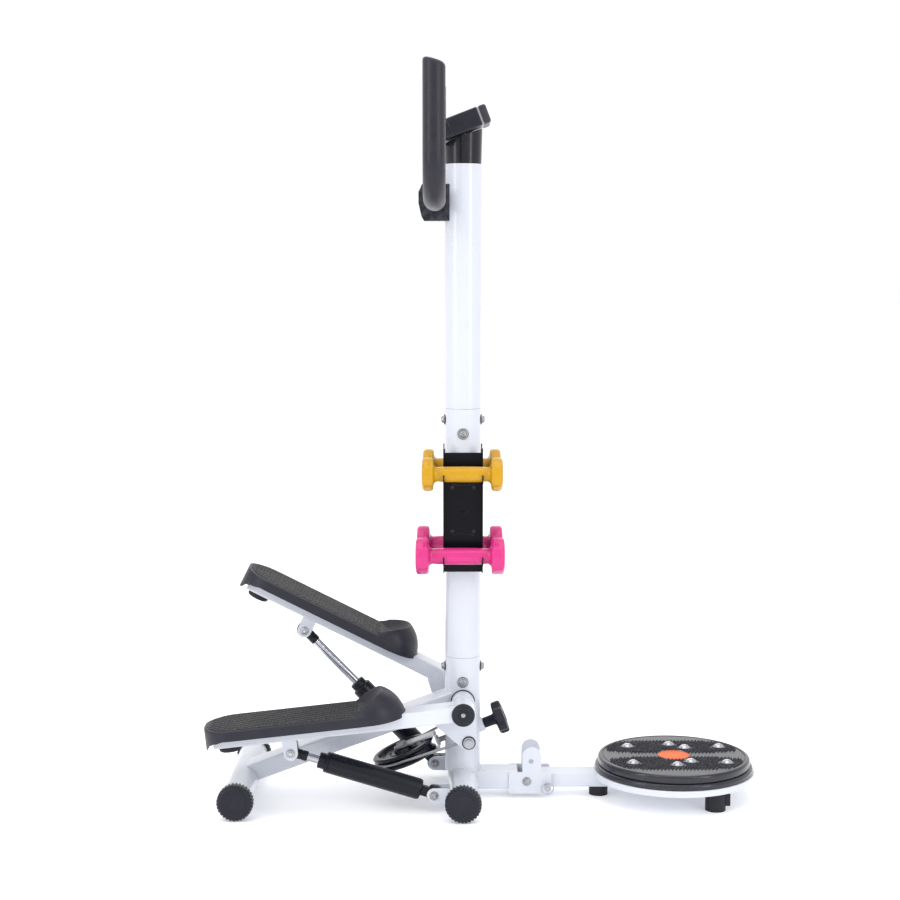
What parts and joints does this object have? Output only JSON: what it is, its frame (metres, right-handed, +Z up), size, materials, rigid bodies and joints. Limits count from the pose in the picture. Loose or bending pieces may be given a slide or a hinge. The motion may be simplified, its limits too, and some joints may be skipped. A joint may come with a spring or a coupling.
{
  "type": "stepper",
  "caption": "Stair stepper with a handlebar column, hydraulic pedals linked by a rope and pulley, a fold-up twister disc and dumbbell holders.",
  "frame": {"origin": "on the floor, below the middle of the bounding box", "axes": "+X the way the user faces, towards the twister; +Y the user's left; +Z up"},
  "size_m": [0.923, 0.39, 1.222],
  "materials": {
    "white_paint": "glossy powder coat",
    "zinc": "zinc plated",
    "chrome": "polished",
    "footplate_plastic": "fine moulded grain",
    "tread": "woven diamond tread",
    "rubber": "ribbed rubber",
    "cylinder_black": "satin black",
    "black_plastic": "moulded",
    "gloss_black": "glossy",
    "console_grey": "satin",
    "display_glass": "glossy",
    "red_button": "glossy",
    "black_steel": "semi-gloss black powder coat",
    "foam": "closed-cell foam",
    "rope": "coated wire rope",
    "disc_plastic": "glossy moulded",
    "yellow_vinyl": "glossy vinyl dip",
    "pink_vinyl": "glossy vinyl dip"
  },
  "bodies": {
    "frame": {"base_post": "white_paint", "lower_column": "white_paint", "upper_column": "white_paint", "front_stabilizer": "white_paint", "rear_stabilizer": "white_paint", "stabilizer_caps": "rubber", "main_beam": "white_paint", "front_beam": "white_paint", "hinge_ears": "white_paint", "column_bolts": "zinc", "axle": "zinc", "axle_washers": "black_plastic", "axle_caps": "black_plastic", "cylinder_ears": "white_paint", "pivot_bolts": "zinc", "column_cap": "gloss_black", "console": "gloss_black", "console_back": "console_grey", "display": "display_glass", "handlebar": "black_steel", "foam_grips": "foam", "handlebar_clamp": "black_plastic", "dumbbell_holders": "black_steel", "rope": "rope"},
    "right_pedal": {"right_arm": "white_paint", "right_lever": "white_paint", "right_rope_anchor": "zinc", "right_footplate": "footplate_plastic", "right_tread": "tread", "right_bumper": "rubber", "right_bracket": "white_paint"},
    "right_cylinder": {"right_barrel": "cylinder_black"},
    "right_piston": {"right_rod": "chrome", "right_rod_eye": "cylinder_black"},
    "left_pedal": {"left_arm": "white_paint", "left_lever": "white_paint", "left_rope_anchor": "zinc", "left_footplate": "footplate_plastic", "left_tread": "tread", "left_bumper": "rubber", "left_bracket": "white_paint"},
    "left_cylinder": {"left_barrel": "cylinder_black"},
    "left_piston": {"left_rod": "chrome", "left_rod_eye": "cylinder_black"},
    "adjuster": {"fork": "zinc", "wheel_bolt": "zinc"},
    "pulley": {"wheel": "black_plastic"},
    "adjuster_knob": {"knob": "black_plastic"},
    "twister": {"twister_tube": "white_paint", "twister_pan": "white_paint", "twister_feet": "rubber", "lower_disc": "disc_plastic"},
    "disc": {"upper_disc": "disc_plastic", "disc_domes": "chrome"},
    "fold_lock": {"lock_pin": "zinc"},
    "right_upper_bell": {"right_upper_dumbbell": "yellow_vinyl"},
    "left_upper_bell": {"left_upper_dumbbell": "yellow_vinyl"},
    "right_lower_bell": {"right_lower_dumbbell": "pink_vinyl"},
    "left_lower_bell": {"left_lower_dumbbell": "pink_vinyl"},
    "console_button": {"button": "red_button"}
  },
  "joints": [
    {"name": "right_pedal_swing", "type": "hinge", "parent": "frame", "child": "right_pedal", "pos_m": [-0.03549, 0, 0.168], "axis": [0, 1, 0], "range_deg": [0, 33], "deforming": ["rope"]},
    {"name": "left_pedal_swing", "type": "hinge", "parent": "frame", "child": "left_pedal", "pos_m": [-0.03549, 0, 0.168], "axis": [0, 1, 0], "range_deg": [-33, 0]},
    {"name": "right_cylinder_tilt", "type": "hinge", "parent": "frame", "child": "right_cylinder", "pos_m": [-0.08349, -0.095, 0.029], "axis": [0, 1, 0], "range_deg": [0, 30.2]},
    {"name": "right_rod_slide", "type": "slide", "parent": "right_cylinder", "child": "right_piston", "axis": [-0.9578, 0, 0.2875], "range_m": [0, 0.0832]},
    {"name": "left_cylinder_tilt", "type": "hinge", "parent": "frame", "child": "left_cylinder", "pos_m": [-0.08349, 0.095, 0.029], "axis": [0, 1, 0], "range_deg": [-28.9, 0]},
    {"name": "left_rod_slide", "type": "slide", "parent": "left_cylinder", "child": "left_piston", "axis": [-0.6929, 0, 0.721], "range_m": [-0.0811, 0]},
    {"name": "knob_spin", "type": "hinge", "parent": "frame", "child": "adjuster_knob", "pos_m": [-0.03549, 0, 0.1095], "axis": [0.9336, 0, 0.3584], "range_deg": [0, 1441]},
    {"name": "adjuster_slide", "type": "slide", "parent": "frame", "child": "adjuster", "axis": [0.9336, 0, 0.3584], "range_m": [0, 0.006]},
    {"name": "pulley_spin", "type": "hinge", "parent": "adjuster", "child": "pulley", "pos_m": [-0.13464, 0, 0.07144], "axis": [-0.3584, 0, 0.9336], "range_deg": [-37.4, 0]},
    {"name": "twister_fold", "type": "hinge", "parent": "frame", "child": "twister", "pos_m": [0.07291, 0, 0.0295], "axis": [0, -1, 0], "range_deg": [0, 88]},
    {"name": "disc_spin", "type": "hinge", "parent": "twister", "child": "disc", "pos_m": [0.32451, 0, 0.06], "axis": [0, 0, 1], "continuous": true},
    {"name": "lock_pin_slide", "type": "slide", "parent": "frame", "child": "fold_lock", "axis": [0, 1, 0], "range_m": [0, 0.012]},
    {"name": "right_upper_lift", "type": "slide", "parent": "frame", "child": "right_upper_bell", "axis": [0, 0, 1], "range_m": [0, 0.06]},
    {"name": "left_upper_lift", "type": "slide", "parent": "frame", "child": "left_upper_bell", "axis": [0, 0, 1], "range_m": [0, 0.06]},
    {"name": "right_lower_lift", "type": "slide", "parent": "frame", "child": "right_lower_bell", "axis": [0, 0, 1], "range_m": [0, 0.05]},
    {"name": "left_lower_lift", "type": "slide", "parent": "frame", "child": "left_lower_bell", "axis": [0, 0, 1], "range_m": [0, 0.05]},
    {"name": "button_press", "type": "slide", "parent": "frame", "child": "console_button", "axis": [-0.3584, 0, 0.9336], "range_m": [-0.0025, 0], "stiffness_N_per_m": 250}
  ],
  "couplings": [
    {"joint": "left_pedal_swing", "follows": "right_pedal_swing", "ratio": -1},
    {"joint": "right_cylinder_tilt", "follows": "right_pedal_swing", "ratio": 0.909},
    {"joint": "right_rod_slide", "follows": "right_pedal_swing", "m_per_rad": 0.1436},
    {"joint": "left_cylinder_tilt", "follows": "right_pedal_swing", "ratio": -0.871},
    {"joint": "left_rod_slide", "follows": "right_pedal_swing", "m_per_rad": -0.14},
    {"joint": "pulley_spin", "follows": "right_pedal_swing", "ratio": -1.1175},
    {"joint": "knob_spin", "follows": "adjuster_slide", "rad_per_m": 4188.8}
  ]
}
